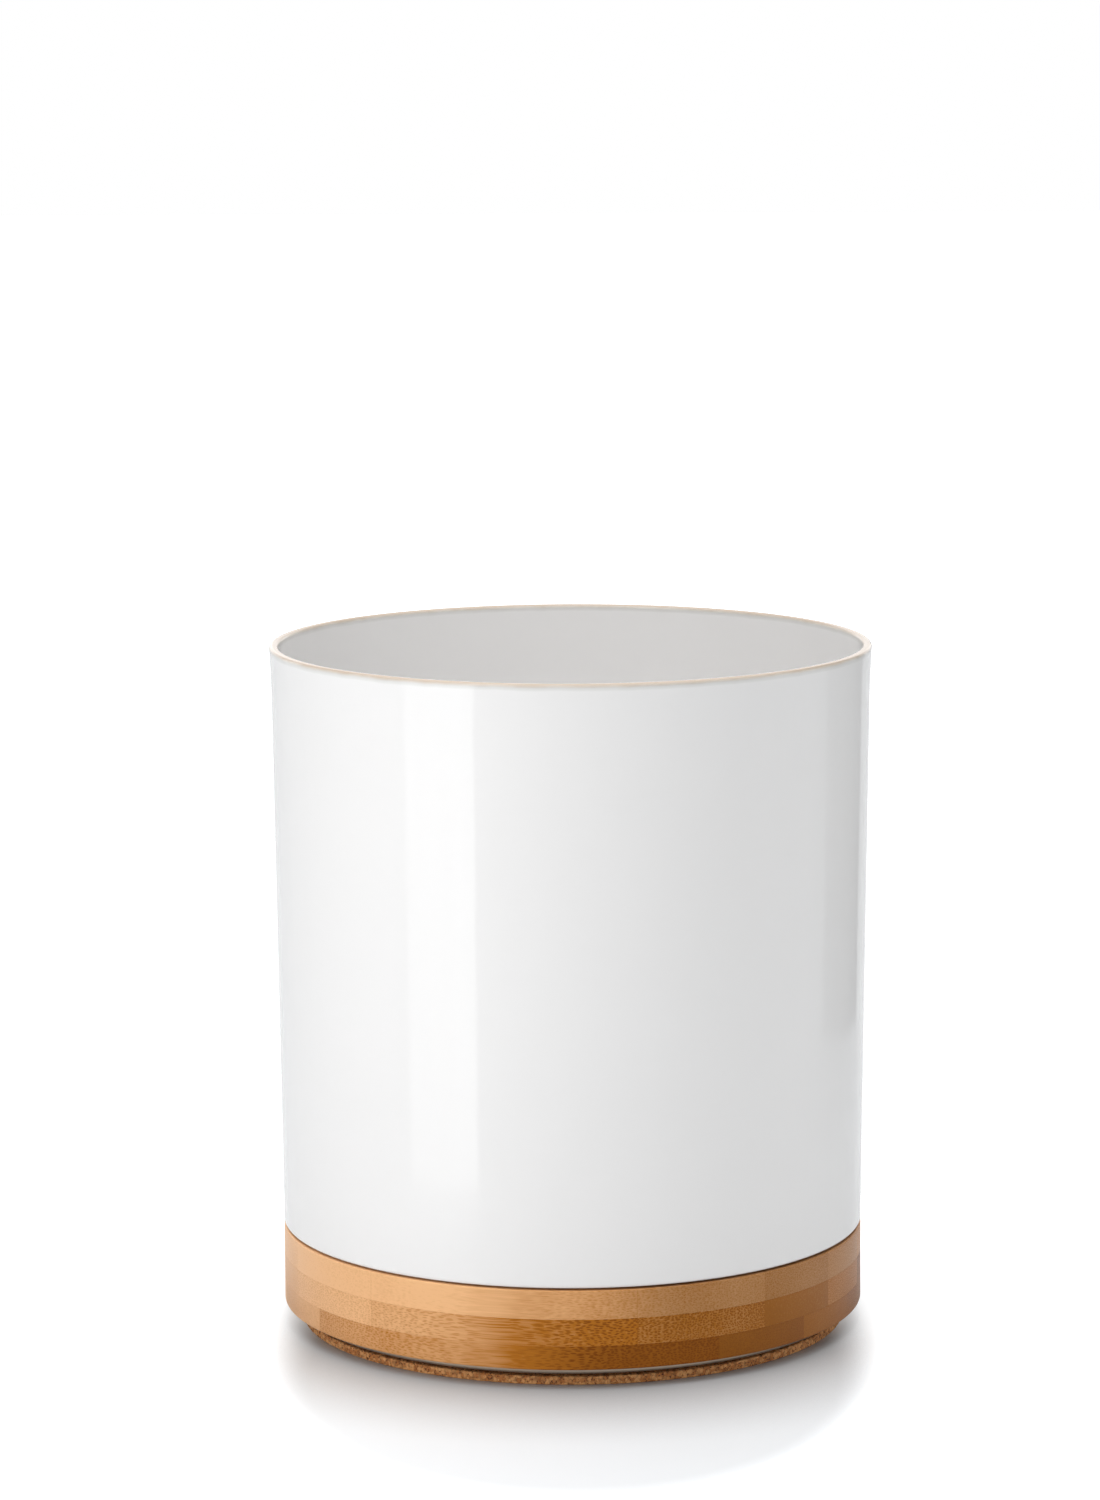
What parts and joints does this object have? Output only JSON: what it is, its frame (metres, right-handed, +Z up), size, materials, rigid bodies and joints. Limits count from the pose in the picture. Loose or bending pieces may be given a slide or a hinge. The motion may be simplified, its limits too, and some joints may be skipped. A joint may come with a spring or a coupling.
{
  "type": "utensil crock",
  "caption": "Tall glazed ceramic crock for upright utensils, seated in a round bamboo base that turns on a ball bearing over a cork foot.",
  "frame": {"origin": "centre of the cork pad's underside, on the table", "axes": "+Z up along the crock's axis and the axis of the turning base, -Y towards the front"},
  "size_m": [0.1594, 0.1594, 0.1821],
  "materials": {
    "glazed_ceramic": "smooth off-white gloss glaze, thin and warm at the lip, bare on the foot ring",
    "bamboo": "caramel laminated bamboo, sanded flush, satin lacquer",
    "plate_aluminium": "satin grey pressed sheet",
    "cork": "compressed granulated cork, matt, crumbly cut edge",
    "fastener_steel": "bright zinc-plated steel",
    "ball_steel": "polished bearing steel",
    "nylon": "natural nylon"
  },
  "bodies": {
    "foot": {"cork_pad": "cork", "lower_bearing_plate": "plate_aluminium", "pivot_rivet": "fastener_steel", "spacer_washer": "nylon"},
    "ball_ring": {"ball_cage": "nylon", "bearing_balls": "ball_steel"},
    "turntable": {"bamboo_ply_top": "bamboo", "bamboo_ply_middle": "bamboo", "bamboo_ply_bottom": "bamboo", "upper_bearing_plate": "plate_aluminium", "plate_screws": "fastener_steel", "thrust_washer": "nylon"},
    "crock": {"crock": "glazed_ceramic"}
  },
  "joints": [
    {"name": "turntable_spin", "type": "hinge", "parent": "foot", "child": "turntable", "pos_m": [0, 0, 0.0052], "axis": [0, 0, 1], "continuous": true},
    {"name": "ball_ring_spin", "type": "hinge", "parent": "foot", "child": "ball_ring", "pos_m": [0, 0, 0.00462], "axis": [0, 0, 1], "continuous": true},
    {"name": "crock_lift", "type": "slide", "parent": "turntable", "child": "crock", "axis": [0, 0, 1], "range_m": [0, 0.04]}
  ],
  "couplings": [
    {"joint": "ball_ring_spin", "follows": "turntable_spin", "ratio": 0.5}
  ]
}
